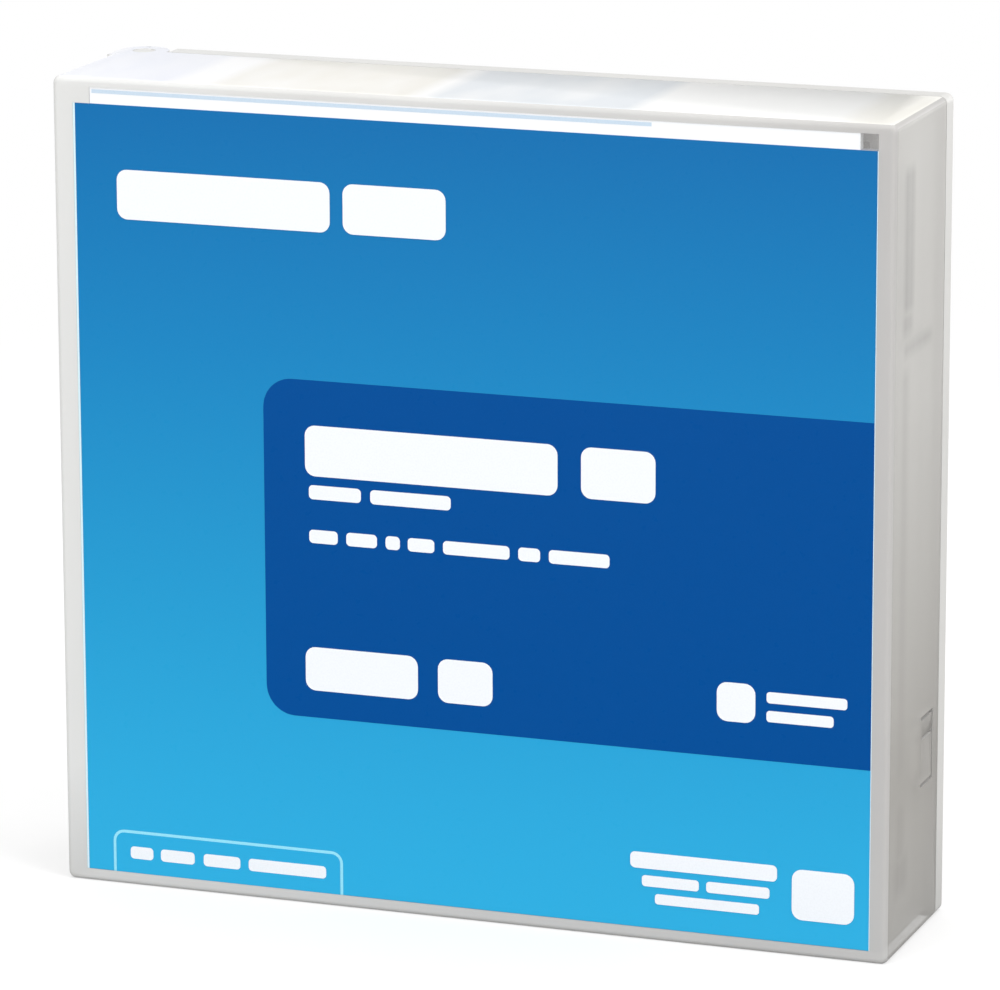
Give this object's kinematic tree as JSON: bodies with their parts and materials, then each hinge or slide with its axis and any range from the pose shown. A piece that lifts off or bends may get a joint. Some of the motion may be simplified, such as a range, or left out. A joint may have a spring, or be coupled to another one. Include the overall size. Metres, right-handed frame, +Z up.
{
  "type": "data tape cartridge in its storage case",
  "caption": "Half-inch data tape cartridge with one reel, brake, door and write-protect tab, inside a frosted storage case that opens like a book and holds a printed insert card.",
  "frame": {"origin": "centre of the closed case's base, which it stands on", "axes": "+X to the case's opening edge, away from its hinge; -Y to the front panel with the card; +Z up, the card's own up"},
  "size_m": [0.115, 0.026, 0.1095],
  "materials": {
    "case_plastic": "frosted clear polypropylene",
    "card": "printed card",
    "shell_plastic": "fine-grained moulded polycarbonate",
    "steel": "plain steel",
    "spring_steel": "drawn spring wire and strip",
    "tab_plastic": "moulded",
    "circuit_board": "solder-masked board",
    "reel_plastic": "moulded polycarbonate",
    "tape": "coated film, wound",
    "lock_plastic": "moulded acetal"
  },
  "bodies": {
    "root": {"case_tray": "case_plastic", "lower_shell": "shell_plastic", "upper_shell": "shell_plastic", "shell_screws": "steel", "memory_chip": "circuit_board", "leader_pin": "steel", "leader_pin_clips": "spring_steel", "tape_clamp": "tab_plastic", "tape_leader": "tape", "door_spring": "spring_steel", "lock_spring": "spring_steel"},
    "lid": {"case_lid": "case_plastic", "insert_card": "card"},
    "door": {"door": "shell_plastic"},
    "tab": {"write_protect_tab": "tab_plastic"},
    "reel": {"reel_hub": "reel_plastic", "upper_flange": "reel_plastic", "tape_pack": "tape", "drive_plate": "steel"},
    "lock": {"reel_lock": "lock_plastic"},
    "pad": {"release_pad": "lock_plastic"}
  },
  "joints": [
    {"name": "lid_hinge", "type": "hinge", "parent": "root", "child": "lid", "pos_m": [-0.0541, 0.0096, 0.05475], "axis": [0, 0, -1], "range_deg": [0, 180]},
    {"name": "door_slide", "type": "slide", "parent": "root", "child": "door", "axis": [0, 0, -1], "range_m": [0, 0.017], "stiffness_N_per_m": 40, "springref_m": -0.005, "deforming": ["door_spring"]},
    {"name": "tab_slide", "type": "slide", "parent": "root", "child": "tab", "axis": [1, 0, 0], "range_m": [0, 0.0055]},
    {"name": "reel_spin", "type": "hinge", "parent": "root", "child": "reel", "pos_m": [0, 0, 0.0536], "axis": [0, 1, 0], "continuous": true},
    {"name": "lock_slide", "type": "slide", "parent": "root", "child": "lock", "axis": [0, -1, 0], "range_m": [-0.0011, 0.0004], "deforming": ["lock_spring"]},
    {"name": "pad_slide", "type": "slide", "parent": "reel", "child": "pad", "axis": [0, -1, 0], "range_m": [-0.0011, 0.0004]}
  ],
  "couplings": [
    {"joint": "pad_slide", "follows": "lock_slide", "ratio": 1}
  ]
}
